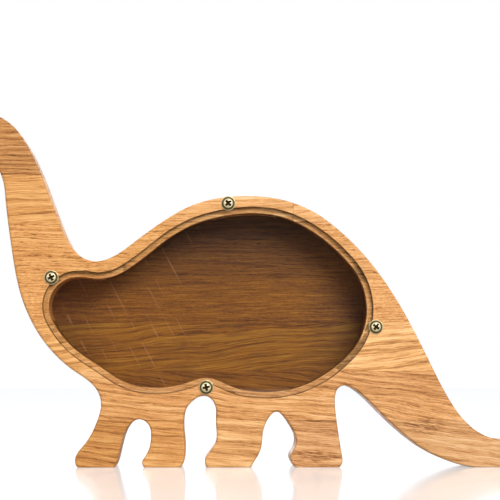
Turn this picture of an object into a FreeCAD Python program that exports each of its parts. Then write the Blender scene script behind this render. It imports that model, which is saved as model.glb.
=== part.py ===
"""Dinosaur money box: a glued-up oak board with a coin cavity behind a clear window.

Millimetres. Z is up from the table, X runs from the head (-X) to the tail (+X),
and Y runs through the board, with the window on the -Y side.
"""

import math
import os

import FreeCAD
import Part

# Board
BOARD_THICK = 38.0
EDGE_ROUND = 1.2
STAVE_WIDTH = 25.0
LOWEST_GLUE_LINE = 24.0
BACK_END_JOINT_X = 22.0
ARC_TOLERANCE = 0.1      # how closely arcs follow the drawn curves
CHORD_POWER = 0.7        # spaces a curve's points by chord length to this power, which keeps it fair
PLANED_OFF = 0.4         # drawn below the table, then planed off to make level soles
REACH = 400.0            # half-size of the slabs used to divide the board

# Coin cavity, its window and the coin slot
WINDOW_THICK = 3.0
WINDOW_PLAY = 0.4
LEDGE_WIDTH = 3.1
CAVITY_DEPTH = 32.0
SLOT_LENGTH = 36.0
SLOT_WIDTH = 5.0
SLOT_MIDDLE_X = -2.0
SLOT_FLOOR_Z = 120.0     # anywhere inside the cavity, below its roof
SLOT_CEILING_Z = 150.0   # anywhere above the back

# Pan-head wood screws and their washers
SHANK_DIA = 3.0
CORE_DIA = 2.1
SHANK_LENGTH = 12.0      # from under the head to the point
POINT_LENGTH = 3.0
THREAD_PITCH = 1.35
PLAIN_LENGTH = 1.9
HEAD_DIA = 6.4
HEAD_HEIGHT = 2.2
HEAD_RIM = 0.7           # upright edge of the head below its dome
CROSS_SPAN = 3.4
CROSS_ARM = 0.9
CROSS_DEPTH = 1.4
WASHER_DIA = 7.4
WASHER_BORE = 3.6
WASHER_THICK = 0.6
PILOT_PLAY = 0.05        # all round, between the thread tips and the pilot hole
PILOT_SPARE = 1.0        # pilot hole left empty beyond the screw point

# The board and the screw heads together are centred on Y = 0.
FRONT_Y = -(BOARD_THICK - WASHER_THICK - HEAD_HEIGHT) / 2.0

# Each seat: x, z and the turn of the cross recess in degrees.
SCREW_SEATS = {
    "left": (-101.4, 96.7, 27.0),
    "top": (-11.2, 134.6, 44.0),
    "right": (64.2, 71.5, 54.0),
    "bottom": (-22.4, 40.7, 13.0),
}

# Where the animal stands on the table: the four soles and the rest under the tail, as x from-to.
SOLES = [(-86.7, -69.5), (-53.3, -36.2), (-21.6, -0.5), (24.1, 44.6), (117.5, 130.0)]

# The gaps between neighbouring soles, from left to right, as (x, z).
FRONT_ARCH = [(-67.9, 1.9), (-66.3, 8.0), (-64.8, 14.0), (-62.2, 20.3), (-56.5, 24.5),
              (-51.5, 21.2), (-50.6, 14.1), (-52.2, 7.8), (-55.0, 2.0)]
BELLY_ARCH = [(-34.1, 1.8), (-33.0, 8.1), (-33.2, 14.1), (-33.6, 25.7), (-30.9, 32.1), (-22.9, 36.3),
              (-18.2, 32.3), (-17.4, 21.2), (-17.4, 13.0), (-20.8, 7.8), (-23.1, 2.5)]
REAR_ARCH = [(1.3, 1.8), (5.0, 7.9), (6.2, 14.2), (7.2, 20.2), (13.2, 28.2), (20.5, 20.8), (23.5, 13.2),
             (21.6, 8.1), (20.4, 5.1), (21.5, 1.7)]
TAIL_ARCH = [(46.8, 1.9), (46.5, 8.1), (45.5, 14.2), (43.5, 29.3), (44.5, 39.7), (48.1, 41.6), (55.0, 38.5),
             (67.7, 26.4), (81.6, 14.0), (91.1, 7.6), (105.9, 1.6)]

# The outline over the top, from the rest under the tail back to the front toe.
TAIL_TIP = [(141.9, 1.6), (153.8, 6.4), (162.6, 13.9), (165.4, 20.5), (162.3, 22.9)]
RUMP = [(155.6, 19.2), (146.7, 15.4), (137.8, 13.8), (127.6, 13.9), (121.2, 15.6), (113.5, 20.0),
        (103.1, 32.2), (93.2, 50.6), (80.8, 75.1), (69.8, 93.5), (60.5, 105.7), (48.8, 118.0)]
BACK = [(32.3, 130.3), (17.0, 136.4), (-1.5, 138.4), (-21.3, 136.3), (-36.8, 130.2), (-55.2, 117.9),
        (-67.0, 109.2), (-77.9, 105.0), (-88.3, 108.8)]
NECK = [(-97.0, 123.7), (-104.0, 142.1), (-109.0, 154.4), (-115.4, 166.7), (-123.5, 176.1)]
HEAD = [(-140.4, 182.0), (-155.0, 176.8), (-165.6, 166.9), (-162.7, 158.8), (-148.7, 159.0), (-135.6, 159.2)]
CHEST = [(-127.4, 149.4), (-125.0, 136.3), (-122.7, 117.9), (-119.8, 99.4), (-114.7, 81.1), (-104.0, 62.6),
         (-91.6, 50.4), (-82.8, 44.3), (-77.5, 38.3), (-76.0, 31.8), (-77.6, 24.7), (-83.7, 12.6), (-89.2, 3.5)]

# The rebate the window lies in, once round as (x, z).
REBATE = [(-105.9, 80.5), (-103.8, 90.4), (-97.0, 97.7), (-86.7, 100.2), (-75.6, 99.3), (-65.9, 102.8),
          (-53.6, 111.6), (-41.6, 120.8), (-29.0, 127.4), (-12.8, 131.6), (8.7, 132.5), (22.3, 129.1),
          (34.7, 122.5), (45.1, 114.3), (53.1, 106.3), (59.1, 97.2), (62.9, 82.3), (60.9, 68.2),
          (54.2, 56.2), (44.3, 47.5), (33.2, 40.8), (21.9, 36.6), (8.9, 35.1), (-6.3, 36.7),
          (-16.1, 40.5), (-22.4, 42.4), (-29.0, 40.7), (-38.3, 38.2), (-51.0, 37.5), (-65.4, 40.6),
          (-76.6, 47.4), (-88.8, 55.6), (-98.0, 64.4)]

# Names of the pieces in each row of staves, rows from the table up, pieces from left to right.
STAVE_ROWS = [
    ["foot_1", "foot_2", "foot_3", "foot_4", "tail_end"],
    ["legs"],
    ["belly_low"],
    ["belly_high"],
    ["shoulder"],
    ["neck", "back_front", "back_rear"],
    ["head"],
    ["crown"],
]
ROW_WITH_END_JOINT = 5


def on_front(x, z):
    """A point of the front face."""
    return FreeCAD.Vector(x, FRONT_Y, z)


def closed_face(outline):
    """A flat face inside a smooth closed curve through (x, z) points, its edge made of tangent arcs."""
    points = [on_front(x, z) for x, z in outline]
    stops = [0.0]
    for here, there in zip(points, points[1:] + points[:1]):
        stops.append(stops[-1] + (there - here).Length ** CHORD_POWER)
    spline = Part.BSplineCurve()
    spline.interpolate(Points=points, Parameters=stops, PeriodicFlag=True)
    arcs = spline.toBiArcs(ARC_TOLERANCE)
    return Part.Face(Part.Wire([arc.toShape() for arc in arcs]))


def animal_face():
    """The side view of the whole animal, its soles not yet planed level."""
    over_the_top = TAIL_TIP + RUMP + BACK + NECK + HEAD + CHEST
    gaps = [FRONT_ARCH, BELLY_ARCH, REAR_ARCH, TAIL_ARCH, over_the_top]
    outline = []
    for (start, end), gap in zip(SOLES, gaps):
        third = (end - start) / 3.0
        outline += [(start + i * third, -PLANED_OFF) for i in range(4)]
        outline += gap
    return closed_face(outline)


def shrunk(face, inset):
    return face.makeOffset2D(-inset)


def extruded(face, depth):
    return face.extrude(FreeCAD.Vector(0, depth, 0))


def slab(bottom, top, left=-REACH, right=REACH):
    """A block through the whole board between two heights and two x positions."""
    return Part.makeBox(right - left, 2 * REACH, top - bottom, FreeCAD.Vector(left, -REACH, bottom))


def into_board(x, z, radius, start, length):
    """A cylinder along +Y; start is measured from the front face, into the wood."""
    return Part.makeCylinder(radius, length, FreeCAD.Vector(x, FRONT_Y + start, z), FreeCAD.Vector(0, 1, 0))


def rounded_board():
    """The sawn-out board with its front and back edges rounded over."""
    board = extruded(animal_face(), BOARD_THICK)
    rims = []
    for edge in board.Edges:
        depths = {round(vertex.Y, 3) for vertex in edge.Vertexes}
        if len(depths) == 1:
            rims.append(edge)
    return board.makeFillet(EDGE_ROUND, rims)


def coin_slot():
    middle_y = FRONT_Y + BOARD_THICK / 2.0
    straight = SLOT_LENGTH - SLOT_WIDTH
    height = SLOT_CEILING_Z - SLOT_FLOOR_Z
    up = FreeCAD.Vector(0, 0, 1)
    corner = FreeCAD.Vector(SLOT_MIDDLE_X - straight / 2.0, middle_y - SLOT_WIDTH / 2.0, SLOT_FLOOR_Z)
    slot = Part.makeBox(straight, SLOT_WIDTH, height, corner)
    for side in (-1, 1):
        end = FreeCAD.Vector(SLOT_MIDDLE_X + side * straight / 2.0, middle_y, SLOT_FLOOR_Z)
        slot = slot.fuse(Part.makeCylinder(SLOT_WIDTH / 2.0, height, end, up))
    return slot


def pilot_hole(x, z):
    radius = SHANK_DIA / 2.0 + PILOT_PLAY
    straight = SHANK_LENGTH - WASHER_THICK - POINT_LENGTH + PILOT_SPARE
    hole = into_board(x, z, radius, 0, straight)
    base = FreeCAD.Vector(x, FRONT_Y + straight, z)
    return hole.fuse(Part.makeCone(radius, 0, POINT_LENGTH, base, FreeCAD.Vector(0, 1, 0)))


def milled_board():
    """The board with the rebate, the coin cavity, the slot and the pilot holes milled into it."""
    rebate = closed_face(REBATE)
    board = rounded_board()
    board = board.cut(extruded(rebate, WINDOW_THICK))
    board = board.cut(extruded(shrunk(rebate, LEDGE_WIDTH), CAVITY_DEPTH))
    board = board.cut(coin_slot())
    for x, z, _turn in SCREW_SEATS.values():
        board = board.cut(pilot_hole(x, z))
    return board


def staves(board):
    """The board divided along its glue lines, as {name: solid}."""
    pieces = {}
    for row, names in enumerate(STAVE_ROWS):
        top = LOWEST_GLUE_LINE + row * STAVE_WIDTH
        bottom = max(0.0, top - STAVE_WIDTH)
        cuts = [-REACH, REACH]
        if row == ROW_WITH_END_JOINT:
            cuts.insert(1, BACK_END_JOINT_X)
        solids = []
        for left, right in zip(cuts, cuts[1:]):
            solids += board.common(slab(bottom, top, left, right)).Solids
        solids.sort(key=lambda solid: solid.CenterOfMass.x)
        if len(solids) != len(names):
            raise RuntimeError("row %d divides into %d pieces" % (row, len(solids)))
        pieces.update(zip(names, solids))
    return pieces


def window():
    return extruded(shrunk(closed_face(REBATE), WINDOW_PLAY), WINDOW_THICK)


def washer(x, z):
    disc = into_board(x, z, WASHER_DIA / 2.0, -WASHER_THICK, WASHER_THICK)
    return disc.cut(into_board(x, z, WASHER_BORE / 2.0, -WASHER_THICK, WASHER_THICK))


def screw_profile():
    """Half section of a screw as (radius, distance from under the head, positive towards the point)."""
    core = CORE_DIA / 2.0
    tip = SHANK_DIA / 2.0
    threaded_end = SHANK_LENGTH - POINT_LENGTH
    section = [(HEAD_DIA / 2.0, -HEAD_RIM), (HEAD_DIA / 2.0, 0), (core, 0), (core, PLAIN_LENGTH)]
    along = PLAIN_LENGTH
    while along + THREAD_PITCH <= SHANK_LENGTH - THREAD_PITCH:
        taper = min(1.0, (SHANK_LENGTH - along) / (SHANK_LENGTH - threaded_end))
        section.append((tip * taper, along + THREAD_PITCH * 0.5))
        section.append((core * taper, along + THREAD_PITCH))
        along += THREAD_PITCH
    section.append((0, SHANK_LENGTH))
    return section


def dome():
    """The crown line of the head, an arc from its centre down to its rim."""
    radius = HEAD_DIA / 2.0
    rise = HEAD_HEIGHT - HEAD_RIM
    dome_radius = (radius ** 2 + rise ** 2) / (2.0 * rise)
    half_angle = math.asin(radius / dome_radius) / 2.0
    halfway = FreeCAD.Vector(dome_radius * math.sin(half_angle),
                             dome_radius * (1.0 - math.cos(half_angle)) - HEAD_HEIGHT, 0)
    return Part.Arc(FreeCAD.Vector(0, -HEAD_HEIGHT, 0), halfway, FreeCAD.Vector(radius, -HEAD_RIM, 0)).toShape()


def screw(x, z, turn):
    """A pan-head wood screw seated on its washer, thread shown as rings, point into the wood."""
    section = [FreeCAD.Vector(radius, along, 0) for radius, along in screw_profile()]
    crown = FreeCAD.Vector(0, -HEAD_HEIGHT, 0)
    outline = Part.makePolygon(section + [crown]).Edges
    half = Part.Face(Part.Wire([dome()] + outline))
    body = half.revolve(FreeCAD.Vector(0, 0, 0), FreeCAD.Vector(0, 1, 0), 360)
    for quarter in (0, 90):
        arm = Part.makeBox(CROSS_SPAN, CROSS_DEPTH, CROSS_ARM,
                           FreeCAD.Vector(-CROSS_SPAN / 2.0, -HEAD_HEIGHT, -CROSS_ARM / 2.0))
        arm.rotate(FreeCAD.Vector(0, 0, 0), FreeCAD.Vector(0, -1, 0), turn + quarter)
        body = body.cut(arm)
    body.translate(FreeCAD.Vector(x, FRONT_Y - WASHER_THICK, z))
    return body


def all_pieces():
    pieces = staves(milled_board())
    pieces["window"] = window()
    for place, (x, z, turn) in SCREW_SEATS.items():
        pieces["washer_" + place] = washer(x, z)
        pieces["screw_" + place] = screw(x, z, turn)
    return pieces


os.makedirs("parts", exist_ok=True)
for name, shape in all_pieces().items():
    shape.exportStep("parts/%s.step" % name)
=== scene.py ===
"""The look of the dinosaur money box: oak staves, a clear window and antique-brass screws, on a white table.

Lengths are in metres, in the frame of the CAD parts: X from head to tail, -Y towards the viewer, Z up.
The wood, the screws and the washers are worked out in millimetres.
"""

import math

import bmesh
import bpy
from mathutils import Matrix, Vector

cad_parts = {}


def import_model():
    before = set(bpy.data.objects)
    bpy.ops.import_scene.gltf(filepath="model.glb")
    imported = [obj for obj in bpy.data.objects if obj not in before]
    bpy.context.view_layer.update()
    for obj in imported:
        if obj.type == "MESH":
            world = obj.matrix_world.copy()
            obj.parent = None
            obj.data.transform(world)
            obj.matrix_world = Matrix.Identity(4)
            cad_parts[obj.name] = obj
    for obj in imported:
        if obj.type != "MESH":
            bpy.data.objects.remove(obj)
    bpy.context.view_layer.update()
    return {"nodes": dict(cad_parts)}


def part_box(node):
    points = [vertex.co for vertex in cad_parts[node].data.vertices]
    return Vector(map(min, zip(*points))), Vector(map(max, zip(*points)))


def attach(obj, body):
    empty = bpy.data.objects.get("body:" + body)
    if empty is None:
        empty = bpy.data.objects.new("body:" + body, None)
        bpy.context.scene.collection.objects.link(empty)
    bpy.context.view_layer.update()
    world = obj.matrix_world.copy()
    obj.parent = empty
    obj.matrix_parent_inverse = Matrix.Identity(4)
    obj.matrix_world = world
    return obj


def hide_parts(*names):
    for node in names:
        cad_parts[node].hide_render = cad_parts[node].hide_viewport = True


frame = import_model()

MM = 0.001
WHITE = (1.0, 1.0, 1.0, 1.0)

# Camera: a long lens just above the animal's knees, turned a little to the right and up.
LENS_MM = 186.3
SENSOR_MM = 36.0
CAMERA_X = -0.0199
CAMERA_HEIGHT = 0.0531
CAMERA_TO_FRONT_FACE = 1.320
CAMERA_TURN_RIGHT = math.radians(0.86)
CAMERA_TILT_UP = math.radians(2.50)
CAMERA_REACH = 30.0

# Where the faces and the cavity lie. The window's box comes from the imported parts; the depths and the
# glue lines repeat the sizes that the board was made to.
WINDOW_LOW, WINDOW_HIGH = (Vector(corner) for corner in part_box("window"))
FRONT_FACE_MM = WINDOW_LOW.y / MM
LEDGE_DEPTH_MM = 3.0
CAVITY_DEPTH_MM = 32.0
BACK_WALL_MM = FRONT_FACE_MM + CAVITY_DEPTH_MM
CAVITY_MIDDLE_MM = ((WINDOW_LOW + WINDOW_HIGH) / 2.0) / MM
LOWEST_GLUE_LINE_MM = 24.0
STAVE_HEIGHT_MM = 25.0
END_JOINT_MM = 22.0
BACK_STAVE_MM = tuple(LOWEST_GLUE_LINE_MM + row * STAVE_HEIGHT_MM for row in (4, 5))

# Pan-head screws, in millimetres. "Along" runs from under the head towards the point.
SCREW_TURNS = {"left": 27.0, "top": 44.0, "right": 54.0, "bottom": 13.0}
HEAD_RADIUS = 3.2
HEAD_HEIGHT = 2.2
HEAD_RIM = 0.7
# The dome is rubbed bright within this radius; outside it the steep edge of the head carries painted shade.
WEAR_AND_SHADE_RADIUS = 2.4
CORE_RADIUS = 1.05
SHANK_RADIUS = 1.5
PLAIN_LENGTH = 1.9
SHANK_LENGTH = 12.0
POINT_LENGTH = 3.0
THREAD_PITCH = 1.35
CROSS_HALF_SPAN = 1.9
CROSS_HALF_ARM = 0.56
CROSS_DEPTH = 1.35
CROSS_TAPER = 0.65       # share of its depth that the recess loses towards the end of an arm
CROSS_SIDE = 0.24        # width of the slope down into an arm, at its sides
CROSS_END = 0.3          # and at its end
THREAD_STEPS = 9.0       # rings of the mesh to one turn of the thread
HEAD_RINGS = 30
WASHER_RADIUS = 3.7
WASHER_BORE_RADIUS = 1.8
WASHER_THICK = 0.6
WASHER_ROUNDING = 0.22
CLEAR_OF_HEAD = 0.01     # so that a turning screw doesn't share its washer's face
SEGMENTS = 96
SHARP_EDGE = math.radians(50.0)

# One entry for each stave. slope: how far the grain rises to the right, in degrees. wave: how far it
# wanders, in millimetres. ring: width of a year's growth in millimetres. rings, streaks, dashes and
# flecks: strength of the dark year lines, of long bands of tone, of short open pores and of fine
# speckle. tint: the stave's own colour against the common oak. knot: middle and half sizes, in X and Z,
# of a patch of dark smudges, in millimetres.
STAVES = {
    "foot_1": dict(slope=-5, wave=3.0, ring=2.6, rings=0.9, streaks=1.5, dashes=0.5, flecks=0.5,
                   tint=(0.81, 0.71, 0.52)),
    "foot_2": dict(slope=-3, wave=3.0, ring=3.0, rings=0.9, streaks=1.5, dashes=0.4, flecks=0.5,
                   tint=(0.96, 0.89, 0.75)),
    "foot_3": dict(slope=-6, wave=2.0, ring=5.5, rings=0.9, streaks=1.5, dashes=0.4, flecks=0.4,
                   tint=(1.04, 1.05, 1.06)),
    "foot_4": dict(slope=-4, wave=4.0, ring=4.5, rings=0.9, streaks=1.5, dashes=0.5, flecks=0.4,
                   tint=(0.95, 0.93, 0.99), knot=(33, 5.5, 13, 4)),
    "tail_end": dict(slope=-7, wave=4.0, ring=4.0, rings=0.7, streaks=1.2, dashes=0.5, flecks=0.4,
                     tint=(0.91, 0.90, 0.92), knot=(89, 21, 11, 5)),
    "legs": dict(slope=-7, wave=4.0, ring=3.2, rings=0.6, streaks=1.2, dashes=0.7, flecks=0.5,
                 tint=(0.98, 0.93, 0.87), knot=(89, 21, 11, 5)),
    "belly_low": dict(slope=5, wave=7.0, ring=3.6, rings=0.8, streaks=1.5, dashes=0.3, flecks=0.4,
                      tint=(1.12, 1.13, 1.08)),
    "belly_high": dict(slope=0, wave=1.5, ring=2.0, rings=0.2, streaks=0.5, dashes=0.7, flecks=1.3,
                       tint=(0.97, 0.89, 0.76)),
    "shoulder": dict(slope=0, wave=2.5, ring=2.2, rings=0.3, streaks=0.6, dashes=1.4, flecks=0.7,
                     tint=(0.98, 0.92, 0.79)),
    "neck": dict(slope=1, wave=2.5, ring=3.4, rings=0.5, streaks=1.3, dashes=0.3, flecks=0.4,
                 tint=(0.99, 0.95, 0.83)),
    "back_front": dict(slope=1, wave=2.5, ring=3.4, rings=0.5, streaks=1.2, dashes=0.4, flecks=0.4,
                       tint=(1.05, 1.05, 1.04)),
    "back_rear": dict(slope=6, wave=2.5, ring=3.0, rings=0.7, streaks=1.2, dashes=0.4, flecks=0.4,
                      tint=(1.07, 1.07, 1.08)),
    "head": dict(slope=-2, wave=6.0, ring=2.7, rings=1.1, streaks=1.0, dashes=0.8, flecks=0.5,
                 tint=(0.76, 0.69, 0.60)),
    "crown": dict(slope=-1, wave=5.0, ring=3.0, rings=1.0, streaks=1.0, dashes=0.7, flecks=0.5,
                  tint=(0.78, 0.71, 0.63)),
}

# Layers of figure in the wood: length along the grain and width across it in millimetres, and detail.
FIGURE = {
    "broad": (110.0, 7.0, 2.0),
    "streak": (45.0, 1.5, 2.0),
    "thread": (18.0, 0.55, 2.0),
    "fibre": (6.0, 0.3, 2.0),
    "fleck": (1.6, 0.7, 1.0),
    "pore": (4.0, 0.45, 1.0),
    "swirl": (5.0, 0.7, 2.0),
}

# How far each layer moves the tone of the wood, which runs from dark (0) to light (1).
TONE = dict(middle=0.57, broad=0.11, streak=0.13, thread=0.20, fibre=0.17, fleck=0.11, ring=-0.20,
            pore=-0.28, glue=-0.26, knot=-0.30)

# Colours that multiply the oak, and where they set in, as X or Z from-to in millimetres.
# Painted light: the oak turns bluer towards the tail, standing in for the light's colour changing across the
# animal.
TAILWARD_PAINTED_LIGHT_TINT = (1.02, 1.06, 1.18, 1.0)
TAILWARD_PAINTED_LIGHT_X = (-60.0, 90.0)
# Painted shade inside the cavity: a brown darkening with depth, and a painted shadow darker still towards
# the roof, the tail end and the chest.
CAVITY_PAINTED_SHADE = [(0.0, (0.22, 0.155, 0.02, 1.0)), (1.0, (0.52, 0.37, 0.06, 1.0))]
CAVITY_PAINTED_SHADOW = (0.38, 0.34, 0.26, 1.0)
PAINTED_SHADOW_ROOF_Z = (84.0, 124.0)
PAINTED_SHADOW_TAIL_X = (20.0, 70.0)
PAINTED_SHADOW_CHEST_X = (-106.0, -66.0)
PAINTED_SHADOW_CHEST_SHARE = 0.6

# Slanting marks of the cutter on the cavity's back wall, in millimetres.
TOOL_LEAN = math.radians(62.0)
TOOL_SPACING = 7.5
TOOL_LINE = 0.08         # half-width of a mark, as a share of the spacing
TOOL_LAST_X = (-45.0, -15.0)
TOOL_STRENGTH = 0.38

# Lamps: place, width of the square and watts. All of them point at the middle of the animal.
LAMPS = {
    "key": ((0.46, -1.55, 0.78), 0.7, 25.5),
    "fill": ((-0.95, -1.35, 0.60), 0.9, 4.5),
    "behind": ((-0.40, 1.70, 0.70), 1.0, 20.0),
    "top": ((0.10, 0.25, 1.60), 1.6, 5.0),
}
LAMP_TARGET = (0.0, 0.0, 0.08)

# White table: it glows a little, more at a glancing angle, and lights the animal from below less.
TABLE_HALF = 4.0
TABLE_DROP = 0.00005     # so that the soles and the table don't share a face
TABLE_GREY = (0.38, 0.38, 0.38, 1.0)
TABLE_GREY_TO_LIGHT = (0.20, 0.20, 0.20, 1.0)
TABLE_GLOW = 0.42
TABLE_GLOW_GLANCING = 0.99
TABLE_GLOW_CUT = 0.9
TABLE_MIRROR = 0.80
TABLE_MIRROR_COLOUR = (0.94, 0.96, 1.0, 1.0)

# White room. The dark patch is a range of directions, as Y and Z of a unit vector.
ROOM_LIGHT = 0.30
ROOM_MORE_IN_MIRRORS = 0.65
PATCH_LIGHT = 0.04
PATCH_EDGES = {"Y": (-0.996, -0.985), "Z": (0.062, 0.085)}


def linear(red, green, blue):
    """An sRGB colour of 0-255 as the linear RGBA that shaders take."""
    def one(value):
        value = value / 255.0
        return value / 12.92 if value <= 0.04045 else ((value + 0.055) / 1.055) ** 2.4
    return (one(red), one(green), one(blue), 1.0)


class Shader:
    """The nodes of a new material or world; its methods add nodes and give back output sockets."""

    def __init__(self, made):
        self.made = made
        self.made.use_nodes = True
        self.tree = self.made.node_tree
        self.tree.nodes.clear()

    def node(self, kind, **inputs):
        added = self.tree.nodes.new(kind)
        for key, value in inputs.items():
            self.put(added.inputs[key.replace("_", " ")], value)
        return added

    def put(self, socket, value):
        if isinstance(value, bpy.types.NodeSocket):
            self.tree.links.new(value, socket)
        else:
            socket.default_value = value

    def math(self, operation, first, second=0.0, third=0.0):
        added = self.node("ShaderNodeMath")
        added.operation = operation
        for socket, value in zip(added.inputs, (first, second, third)):
            self.put(socket, value)
        return added.outputs[0]

    def total(self, *terms):
        result = terms[0]
        for term in terms[1:]:
            result = self.math("ADD", result, term)
        return result

    def product(self, *factors):
        result = factors[0]
        for factor in factors[1:]:
            result = self.math("MULTIPLY", result, factor)
        return result

    def between(self, interpolation, value, low, high, start, end):
        """start below low and end above high."""
        added = self.node("ShaderNodeMapRange")
        added.interpolation_type = interpolation
        for socket, given in zip(added.inputs, (value, low, high, start, end)):
            self.put(socket, given)
        return added.outputs[0]

    def step(self, value, low, high):
        """0 below low and 1 above high, smooth between."""
        return self.between("SMOOTHSTEP", value, low, high, 0.0, 1.0)

    def fall(self, value, low, high):
        """1 below low and 0 above high, smooth between."""
        return self.math("SUBTRACT", 1.0, self.step(value, low, high))

    def distance(self, value, target):
        return self.math("ABSOLUTE", self.total(value, -target))

    def vector(self, x, y, z):
        return self.node("ShaderNodeCombineXYZ", X=x, Y=y, Z=z).outputs[0]

    def separate(self, vector):
        return self.node("ShaderNodeSeparateXYZ", Vector=vector).outputs

    def normal(self):
        return self.separate(self.node("ShaderNodeNewGeometry").outputs["Normal"])

    def position_mm(self):
        coords = self.node("ShaderNodeTexCoord").outputs["Object"]
        return self.separate(self.scaled(coords, 1.0 / MM))

    def ray(self, kind):
        """1 for a ray of this kind, such as Is Camera Ray, and 0 for any other."""
        return self.node("ShaderNodeLightPath").outputs[kind]

    def scaled(self, vector, factor):
        added = self.node("ShaderNodeVectorMath")
        added.operation = "SCALE"
        self.put(added.inputs[0], vector)
        self.put(added.inputs["Scale"], factor)
        return added.outputs[0]

    def noise(self, x, y, z, detail=2.0, roughness=0.5):
        """Noise of about -1 to 1 whose lumps are about one unit across."""
        added = self.node("ShaderNodeTexNoise", Vector=self.vector(x, y, z), Scale=1.0,
                          Detail=detail, Roughness=roughness)
        return self.math("MULTIPLY_ADD", added.outputs[0], 4.0, -2.0)

    def ramp(self, factor, stops):
        added = self.node("ShaderNodeValToRGB")
        bands = added.color_ramp.elements
        while len(bands) < len(stops):
            bands.new(0.5)
        for band, (place, colour) in zip(bands, stops):
            band.position = place
            band.color = colour
        self.put(added.inputs[0], factor)
        return added.outputs[0]

    def mix(self, blend, factor, first, second):
        """Two colours, mixed as the blend type says."""
        added = self.node("ShaderNodeMix")
        added.data_type = "RGBA"
        added.blend_type = blend
        self.put(added.inputs["Factor"], factor)
        self.put(added.inputs[6], first)
        self.put(added.inputs[7], second)
        return added.outputs[2]

    def blend(self, factor, first, second):
        """A shader between the shader nodes first (factor 0) and second (factor 1)."""
        added = self.node("ShaderNodeMixShader", Fac=factor)
        self.put(added.inputs[1], first.outputs[0])
        self.put(added.inputs[2], second.outputs[0])
        return added

    def glancing(self):
        """0 where the surface is met squarely and 1 at a glancing angle, rising as a gloss does."""
        facing = self.node("ShaderNodeLayerWeight", Blend=0.5).outputs["Facing"]
        return self.math("POWER", facing, 5.0)

    def bump(self, height, distance):
        return self.node("ShaderNodeBump", Height=height, Distance=distance, Strength=1.0).outputs[0]

    def finish(self, surface, output_kind="ShaderNodeOutputMaterial"):
        self.put(self.node(output_kind).inputs["Surface"], surface.outputs[0])
        return self.made


def new_material(name):
    return Shader(bpy.data.materials.new(name))


OAK_TONES = [
    (0.00, linear(112, 66, 30)),
    (0.28, linear(176, 118, 62)),
    (0.50, linear(212, 152, 90)),
    (0.72, linear(231, 177, 116)),
    (1.00, linear(246, 208, 156)),
]


def grain(shader, place, seed, stave):
    """Coordinates that follow the wood: along the stave, and out from its pith, in millimetres."""
    x, y, z = place
    slope = math.radians(stave["slope"])
    slow = shader.noise(shader.math("DIVIDE", x, 70.0), shader.math("DIVIDE", y, 60.0),
                        shader.math("MULTIPLY_ADD", z, 1 / 22.0, seed), detail=1.0)
    quick = shader.noise(shader.math("DIVIDE", x, 16.0), shader.math("DIVIDE", y, 30.0),
                         shader.math("MULTIPLY_ADD", z, 1 / 7.0, seed), detail=1.0)
    wandered = shader.total(z, shader.product(slow, stave["wave"] / 2.0), shader.product(quick, 0.45))
    along = shader.total(shader.product(x, math.cos(slope)), shader.product(z, math.sin(slope)))
    across = shader.total(shader.product(wandered, math.cos(slope)), shader.product(x, -math.sin(slope)))
    pith_below = shader.total(across, 60.0 + 9.0 * (seed % 5.0))
    pith_behind = shader.total(y, -25.0 - 6.0 * (seed % 3.0))
    out = shader.math("SQRT", shader.total(shader.product(pith_below, pith_below),
                                           shader.product(pith_behind, pith_behind)))
    return along, out


def knot(shader, place, patch, swirl):
    """Smudges of dark wood within a patch, given as its middle and half sizes in X and Z."""
    middle_x, middle_z, half_x, half_z = patch
    u = shader.math("MULTIPLY_ADD", place[0], 1.0 / half_x, -middle_x / half_x)
    v = shader.math("MULTIPLY_ADD", place[2], 1.0 / half_z, -middle_z / half_z)
    away = shader.total(shader.product(u, u), shader.product(v, v))
    within = shader.fall(away, 0.2, 1.3)
    return shader.product(within, shader.step(swirl, -0.5, 0.5))


def glue_lines(shader, place):
    """Hair lines where stave meets stave, and a plainer one where two lengths meet end to end."""
    x, _y, z = place
    above_rows = 0.5 - LOWEST_GLUE_LINE_MM / STAVE_HEIGHT_MM
    rows_up = shader.math("MULTIPLY_ADD", z, 1.0 / STAVE_HEIGHT_MM, above_rows)
    from_row = shader.product(shader.distance(shader.math("FRACT", rows_up), 0.5), STAVE_HEIGHT_MM)
    row_line = shader.fall(from_row, 0.05, 0.30)
    end_line = shader.fall(shader.distance(x, END_JOINT_MM), 0.05, 0.35)
    in_back = shader.product(shader.math("GREATER_THAN", z, BACK_STAVE_MM[0]),
                             shader.math("LESS_THAN", z, BACK_STAVE_MM[1]))
    return shader.math("MAXIMUM", shader.product(row_line, 0.5), shader.product(end_line, in_back))


def cavity_masks(shader, place):
    """Where the surface is the inside of the coin cavity: (any of it, its back wall)."""
    x, y, z = place
    normal = shader.normal()
    near_back = shader.math("LESS_THAN", shader.distance(y, BACK_WALL_MM), 0.3)
    back_wall = shader.product(near_back, shader.math("LESS_THAN", normal[1], -0.5))
    inward_x = shader.product(normal[0], shader.total(CAVITY_MIDDLE_MM.x, shader.product(x, -1.0)))
    inward_z = shader.product(normal[2], shader.total(CAVITY_MIDDLE_MM.z, shader.product(z, -1.0)))
    inward = shader.step(shader.total(inward_x, inward_z), 4.0, 8.0)
    behind_ledge = shader.math("GREATER_THAN", y, FRONT_FACE_MM + LEDGE_DEPTH_MM + 0.05)
    before_back = shader.math("LESS_THAN", y, BACK_WALL_MM + 0.05)
    inside = [
        shader.math("GREATER_THAN", x, WINDOW_LOW.x / MM),
        shader.math("LESS_THAN", x, WINDOW_HIGH.x / MM),
        shader.math("GREATER_THAN", z, WINDOW_LOW.z / MM + 2.0),
        shader.math("LESS_THAN", z, WINDOW_HIGH.z / MM),
    ]
    under_valley = shader.math("LESS_THAN", shader.total(z, shader.product(x, -0.8)), 156.0)
    side_wall = shader.product(inward, behind_ledge, before_back, under_valley, *inside)
    return shader.math("MAXIMUM", back_wall, side_wall), back_wall


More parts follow.
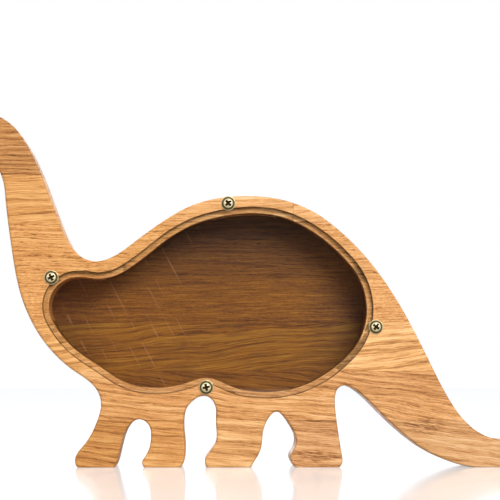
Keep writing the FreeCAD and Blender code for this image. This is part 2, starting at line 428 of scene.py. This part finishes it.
def tool_marks(shader, place):
    """Pale, slanting lines that the cutter left on the back wall, mostly towards the chest."""
    x, _y, z = place
    across = shader.total(shader.product(x, math.sin(TOOL_LEAN)), shader.product(z, math.cos(TOOL_LEAN)))
    jitter = shader.noise(shader.product(across, 1 / 17.0), 0.0, 3.1, detail=0.0)
    passes = shader.total(shader.product(across, 1 / TOOL_SPACING), shader.product(jitter, 0.5))
    line = shader.fall(shader.distance(shader.math("FRACT", passes), 0.5), 0.0, TOOL_LINE)
    broken = shader.noise(shader.product(x, 1 / 9.0), 5.0, shader.product(z, 1 / 13.0))
    return shader.product(line, shader.step(broken, -0.2, 0.5), shader.fall(x, *TOOL_LAST_X))


def oak_tone(shader, place, stave, out, figure):
    """Tone of the wood, from dark (0) to light (1), with the layers that its finish also needs."""
    streak, thread, fibre = figure("streak"), figure("thread"), figure("fibre")
    broad = figure("broad")
    ring_place = shader.total(shader.product(out, 1.0 / stave["ring"]), shader.product(broad, 0.25))
    ring_phase = shader.math("FRACT", ring_place)
    early = shader.product(shader.step(ring_phase, 0.0, 0.12), shader.fall(ring_phase, 0.18, 0.62))
    pores = shader.step(shader.total(figure("pore"), shader.product(early, 0.35)), 0.35, 1.15)
    tone = shader.total(
        TONE["middle"],
        shader.product(broad, TONE["broad"] * stave["streaks"]),
        shader.product(streak, TONE["streak"] * stave["streaks"]),
        shader.product(thread, TONE["thread"]),
        shader.product(fibre, TONE["fibre"]),
        shader.product(figure("fleck"), TONE["fleck"] * stave["flecks"]),
        shader.product(early, shader.math("MULTIPLY_ADD", streak, 0.5, 1.0), TONE["ring"] * stave["rings"]),
        shader.product(pores, TONE["pore"] * stave["dashes"]),
        shader.product(glue_lines(shader, place), TONE["glue"]),
    )
    if "knot" in stave:
        smudges = knot(shader, place, stave["knot"], figure("swirl"))
        tone = shader.total(tone, shader.product(smudges, TONE["knot"]))
    return tone, thread, fibre, early, pores


def cavity_colour(shader, place, colour, thread):
    """The wood's colour with painted shade inside the cavity: brown and darker with depth, a painted shadow
    darker still towards its roof, its tail end and its chest, and the cutter's pale marks.
    """
    x, y, z = place
    anywhere, back_wall = cavity_masks(shader, place)
    # Painted shade: darker with depth behind the ledge.
    depth = shader.step(y, FRONT_FACE_MM + LEDGE_DEPTH_MM, FRONT_FACE_MM + CAVITY_DEPTH_MM * 0.5)
    shade = shader.math("MAXIMUM", shader.product(anywhere, depth), back_wall)
    painted_shade_colour = shader.ramp(shader.math("MULTIPLY_ADD", thread, 0.35, 0.5), CAVITY_PAINTED_SHADE)
    colour = shader.mix("MULTIPLY", shade, colour, painted_shade_colour)
    # Painted shadow: darker towards the roof, the tail end and the chest.
    towards_chest = shader.product(shader.fall(x, *PAINTED_SHADOW_CHEST_X), PAINTED_SHADOW_CHEST_SHARE)
    high_or_back = shader.math("MAXIMUM", shader.step(z, *PAINTED_SHADOW_ROOF_Z), shader.step(x, *PAINTED_SHADOW_TAIL_X))
    painted_shadow_mask = shader.math("MAXIMUM", high_or_back, towards_chest)
    colour = shader.mix("MULTIPLY", shader.product(shade, painted_shadow_mask), colour, CAVITY_PAINTED_SHADOW)
    marks = shader.product(tool_marks(shader, place), back_wall, TOOL_STRENGTH)
    return shader.mix("MIX", marks, colour, linear(190, 130, 85))


def oak(name, seed, stave):
    """The wood of one stave."""
    shader = new_material("oak_" + name)
    place = shader.position_mm()
    along, out = grain(shader, place, seed, stave)

    def figure(kind):
        length, width, detail = FIGURE[kind]
        return shader.noise(shader.math("MULTIPLY_ADD", along, 1.0 / length, seed * 3.7),
                            shader.product(out, 1.0 / width), shader.product(place[1], 0.4 / width), detail)

    tone, thread, fibre, early, pores = oak_tone(shader, place, stave, out, figure)
    colour = shader.ramp(tone, OAK_TONES)
    colour = shader.mix("MULTIPLY", 1.0, colour, (*stave["tint"], 1.0))
    # Painted light: the oak is bluer towards the tail.
    colour = shader.mix("MULTIPLY", shader.step(place[0], *TAILWARD_PAINTED_LIGHT_X), colour, TAILWARD_PAINTED_LIGHT_TINT)
    colour = cavity_colour(shader, place, colour, thread)
    relief = shader.total(shader.product(pores, -1.0), shader.product(fibre, 0.3),
                          shader.product(early, -0.3))
    surface = shader.node(
        "ShaderNodeBsdfPrincipled",
        Base_Color=colour,
        Roughness=shader.math("MULTIPLY_ADD", fibre, 0.05, 0.46),
        Specular_IOR_Level=0.20,
        Normal=shader.bump(relief, 0.00008),
    )
    return shader.finish(surface)


def acrylic():
    """Clear flat sheet with a sawn edge, whose dark brown is painted shade, the dark line of the gap round
    the sheet. The sheet is thin, so nothing seen through it is bent.
    """
    shader = new_material("acrylic")
    place = shader.position_mm()
    smear = shader.noise(*[shader.product(axis, 1 / 25.0) for axis in place])
    gloss = shader.node("ShaderNodeBsdfPrincipled", Base_Color=WHITE, Metallic=1.0,
                        Roughness=shader.math("MULTIPLY_ADD", smear, 0.004, 0.012))
    clear = shader.node("ShaderNodeBsdfTransparent", Color=(0.97, 0.975, 0.97, 1.0))
    mirrored = shader.math("MULTIPLY_ADD", shader.glancing(), 0.96, 0.04)
    face = shader.blend(mirrored, clear, gloss)

    x, y, z = place
    saw_marks = shader.noise(shader.product(x, 1 / 0.5), y, shader.product(z, 1 / 0.5))
    # Painted shade: the rough sawn edge is coloured dark brown, as the dark line of the gap round the sheet.
    sawn_edge_with_painted_shade = shader.node("ShaderNodeBsdfPrincipled", Base_Color=linear(84, 58, 38),
                       Roughness=shader.math("MULTIPLY_ADD", saw_marks, 0.08, 0.40))
    edge = shader.fall(shader.math("ABSOLUTE", shader.normal()[1]), 0.3, 0.6)
    return shader.finish(shader.blend(shader.product(edge, 0.85), face, sawn_edge_with_painted_shade))


def antique_brass():
    """Bright where hands and screwdrivers rub it, a dark brown patina in the recess, painted shade dark
    round the steep edge of the head, and a painted highlight on the washer's rounded edge.
    """
    shader = new_material("antique_brass")
    place = shader.position_mm()
    patina = shader.noise(*[shader.product(axis, 1 / 0.9) for axis in place])
    wear_and_painted_light = shader.node("ShaderNodeAttribute")
    wear_and_painted_light.attribute_name = "wear_and_painted_light"
    rubbed_and_painted_light = shader.math("MULTIPLY_ADD", patina, 0.07, wear_and_painted_light.outputs["Fac"])
    surface = shader.node(
        "ShaderNodeBsdfPrincipled",
        Base_Color=shader.ramp(rubbed_and_painted_light, [
            (0.00, linear(44, 35, 22)),
            (0.35, linear(104, 90, 58)),
            (0.65, linear(150, 136, 96)),
            (1.00, linear(214, 202, 162)),
        ]),
        Metallic=1.0,
        Roughness=shader.math("MULTIPLY_ADD", rubbed_and_painted_light, -0.14, 0.46),
    )
    return shader.finish(surface)


def eased(value):
    """0 below 0 and 1 above 1, smooth between."""
    held = min(1.0, max(0.0, value))
    return held * held * (3.0 - 2.0 * held)


def cross_depth(x, z, turn):
    """Depth of the cross recess under the dome, in millimetres, tapering out along each arm."""
    angle = math.radians(turn)
    u = x * math.cos(angle) + z * math.sin(angle)
    v = z * math.cos(angle) - x * math.sin(angle)
    deepest = 0.0
    for along, across in ((u, v), (v, u)):
        inside_arm = eased((CROSS_HALF_ARM + CROSS_SIDE / 2.0 - abs(across)) / CROSS_SIDE)
        before_end = eased((CROSS_HALF_SPAN - abs(along)) / CROSS_END)
        floor = CROSS_DEPTH * (1.0 - CROSS_TAPER * abs(along) / CROSS_HALF_SPAN)
        deepest = max(deepest, inside_arm * before_end * floor)
    return deepest


def head_rings(turn):
    """Rings of the domed head, from its crown to under its rim."""
    rise = HEAD_HEIGHT - HEAD_RIM
    dome_radius = (HEAD_RADIUS ** 2 + rise ** 2) / (2.0 * rise)
    rings = []
    for number in range(HEAD_RINGS):
        radius = HEAD_RADIUS * number / (HEAD_RINGS - 1)
        drop = dome_radius - math.sqrt(dome_radius ** 2 - radius ** 2)
        ring = []
        for segment in range(SEGMENTS):
            angle = math.tau * segment / SEGMENTS
            cross = cross_depth(radius * math.cos(angle), radius * math.sin(angle), turn)
            # Rubbed bright towards the crown, painted shade past the rubbed radius on the head's steep edge,
            # and a dark patina in the cross recess.
            rubbed_and_painted_light = 1.0 - 0.72 * eased((radius - WEAR_AND_SHADE_RADIUS) / 0.35 + 0.5) - 1.6 * eased(cross / 0.5)
            ring.append((radius, drop - HEAD_HEIGHT + cross, rubbed_and_painted_light))
        rings.append(ring)
    # The side of the rim carries painted shade, as dark as the edge of the dome.
    under_rim = [(HEAD_RADIUS, -0.12, 0.3), (HEAD_RADIUS - 0.1, 0.0, 0.2), (CORE_RADIUS, 0.0, 0.3)]
    return rings + [[point] * SEGMENTS for point in under_rim]


def thread_rings():
    """Rings down the shank, whose radius winds as one continuous thread and shrinks to the point."""
    step = THREAD_PITCH / THREAD_STEPS
    count = int((SHANK_LENGTH - PLAIN_LENGTH) / step)
    rings = []
    for number in range(count):
        along = PLAIN_LENGTH + number * step
        taper = min(1.0, (SHANK_LENGTH - along) / POINT_LENGTH)
        run_in = min(1.0, number / THREAD_STEPS)
        ring = []
        for segment in range(SEGMENTS):
            phase = (along / THREAD_PITCH - segment / SEGMENTS) % 1.0
            ridge = max(0.0, 1.0 - abs(phase - 0.5) * 3.2) * run_in
            radius = (CORE_RADIUS + (SHANK_RADIUS - CORE_RADIUS) * ridge) * taper
            ring.append((radius, along, 0.35 + 0.4 * ridge))
        rings.append(ring)
    return rings + [[(0.0, SHANK_LENGTH, 0.6)] * SEGMENTS]


def washer_rings():
    """Rings of a flat washer with a rounded outer edge, which the light catches and which also carries a
    painted highlight, paler than its face.
    """
    top = CLEAR_OF_HEAD - WASHER_THICK
    corner = WASHER_RADIUS - WASHER_ROUNDING
    section = [(WASHER_BORE_RADIUS, 0.0, 0.3), (WASHER_BORE_RADIUS, top, 0.3), (corner - 0.15, top, 0.42)]
    # Painted highlight: the rounded edge is paler than the face.
    for part in range(5):
        angle = math.pi / 2.0 * part / 4.0
        radius = corner + WASHER_ROUNDING * math.sin(angle)
        section.append((radius, top + WASHER_ROUNDING * (1.0 - math.cos(angle)), 0.85))
    section += [(WASHER_RADIUS, -0.1, 0.4), (WASHER_RADIUS, 0.0, 0.2)]
    return [[point] * SEGMENTS for point in section]


def turned_piece(name, rings, origin, closed, material):
    """A mesh of rings round an axis along Y. A ring of no radius is a single point at a tip."""
    shape = bmesh.new()
    wear_and_painted_light = shape.verts.layers.float.new("wear_and_painted_light")
    rows = []
    for ring in rings:
        row = []
        for segment, (radius, along, rubbed_and_painted_light) in enumerate(ring):
            if radius == 0.0 and row:
                row.append(row[0])
                continue
            angle = math.tau * segment / SEGMENTS
            place = Vector((radius * math.cos(angle), along, radius * math.sin(angle)))
            vertex = shape.verts.new(origin + place * MM)
            vertex[wear_and_painted_light] = rubbed_and_painted_light
            row.append(vertex)
        rows.append(row)
    for upper, lower in zip(rows, rows[1:] + rows[:1] * closed):
        for segment in range(SEGMENTS):
            corners = (upper[segment], upper[segment - 1], lower[segment - 1], lower[segment])
            shape.faces.new(dict.fromkeys(corners))
    bmesh.ops.recalc_face_normals(shape, faces=shape.faces)
    mesh = bpy.data.meshes.new(name)
    shape.to_mesh(mesh)
    shape.free()
    mesh.materials.append(material)
    mesh.shade_smooth()
    mesh.set_sharp_from_angle(angle=SHARP_EDGE)
    piece = bpy.data.objects.new(name, mesh)
    bpy.context.scene.collection.objects.link(piece)
    return piece


def fasteners():
    """A new screw and washer at each of the four places, in the stead of the CAD ones."""
    brass = antique_brass()
    for place, turn in SCREW_TURNS.items():
        low, high = (Vector(corner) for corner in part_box("washer_" + place))
        seat = Vector(((low.x + high.x) / 2.0, high.y, (low.z + high.z) / 2.0))
        washer = turned_piece("washer_ring_" + place, washer_rings(), seat, True, brass)
        under_head = seat - Vector((0.0, WASHER_THICK * MM, 0.0))
        rings = head_rings(turn) + thread_rings()
        screw = turned_piece("threaded_screw_" + place, rings, under_head, False, brass)
        for piece, kind in ((washer, "washer_"), (screw, "screw_")):
            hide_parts(kind + place)
            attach(piece, kind + place)


def dress(node, material):
    """Gives a CAD node its material in every slot of its mesh."""
    mesh = frame["nodes"][node].data
    if not mesh.materials:
        mesh.materials.append(material)
    for slot in range(len(mesh.materials)):
        mesh.materials[slot] = material


def dress_everything():
    for number, (name, stave) in enumerate(STAVES.items()):
        dress(name, oak(name, 1.7 + 2.3 * number, stave))
    dress("window", acrylic())
    fasteners()


def table():
    """A pale floor that fades to white towards its far edge and mirrors the soles faintly."""
    corners = [(-1, -1), (1, -1), (1, 1), (-1, 1)]
    mesh = bpy.data.meshes.new("table_top")
    mesh.from_pydata([(x * TABLE_HALF, y * TABLE_HALF, -TABLE_DROP) for x, y in corners], [], [(0, 1, 2, 3)])
    floor = bpy.data.objects.new("table_top", mesh)
    bpy.context.scene.collection.objects.link(floor)
    shader = new_material("white_table")
    bounced = shader.ray("Is Diffuse Ray")
    glancing = shader.glancing()
    glow = shader.product(shader.math("MULTIPLY_ADD", glancing, TABLE_GLOW_GLANCING, TABLE_GLOW),
                          shader.math("MULTIPLY_ADD", bounced, -TABLE_GLOW_CUT, 1.0))
    white = shader.mix("MIX", bounced, TABLE_GREY, TABLE_GREY_TO_LIGHT)
    sheet = shader.node("ShaderNodeBsdfPrincipled", Base_Color=white, Roughness=1.0, Specular_IOR_Level=0.0,
                        Emission_Color=WHITE, Emission_Strength=glow)
    gloss = shader.node("ShaderNodeBsdfAnisotropic", Color=TABLE_MIRROR_COLOUR, Roughness=0.09)
    mesh.materials.append(shader.finish(shader.blend(shader.product(glancing, TABLE_MIRROR), sheet, gloss)))


def lamps():
    """Square area lamps, each turned towards the middle of the animal."""
    for name, (place, width, watts) in LAMPS.items():
        data = bpy.data.lights.new(name, "AREA")
        data.shape = "RECTANGLE"
        data.size = data.size_y = width
        data.energy = watts
        lamp = bpy.data.objects.new(name, data)
        lamp.location = place
        lamp.rotation_euler = (Vector(LAMP_TARGET) - Vector(place)).to_track_quat("-Z", "Y").to_euler()
        bpy.context.scene.collection.objects.link(lamp)


def world():
    """A white room with one dark patch, which is what the front of the clear window mirrors."""
    shader = Shader(bpy.data.worlds.new("studio"))
    direction = shader.separate(shader.node("ShaderNodeTexCoord").outputs["Generated"])
    outside = [shader.between("LINEAR", direction[axis], *edges, PATCH_LIGHT, 1.0)
               for axis, edges in PATCH_EDGES.items()]
    lit = shader.math("MULTIPLY_ADD", shader.ray("Is Glossy Ray"), ROOM_MORE_IN_MIRRORS, ROOM_LIGHT)
    dimmed = shader.product(shader.math("MAXIMUM", *outside), lit)
    strength = shader.math("MAXIMUM", dimmed, shader.ray("Is Camera Ray"))
    background = shader.node("ShaderNodeBackground", Color=WHITE, Strength=strength)
    bpy.context.scene.world = shader.finish(background, "ShaderNodeOutputWorld")


def camera():
    data = bpy.data.cameras.new("camera")
    data.lens = LENS_MM
    data.sensor_width = SENSOR_MM
    data.clip_end = CAMERA_REACH
    eye = bpy.data.objects.new("camera", data)
    eye.location = (CAMERA_X, FRONT_FACE_MM * MM - CAMERA_TO_FRONT_FACE, CAMERA_HEIGHT)
    eye.rotation_euler = (math.pi / 2.0 + CAMERA_TILT_UP, 0.0, -CAMERA_TURN_RIGHT)
    bpy.context.scene.collection.objects.link(eye)
    bpy.context.scene.camera = eye


def studio():
    bpy.context.scene.view_settings.view_transform = "Standard"
    lamps()
    world()


camera()
dress_everything()
table()
studio()
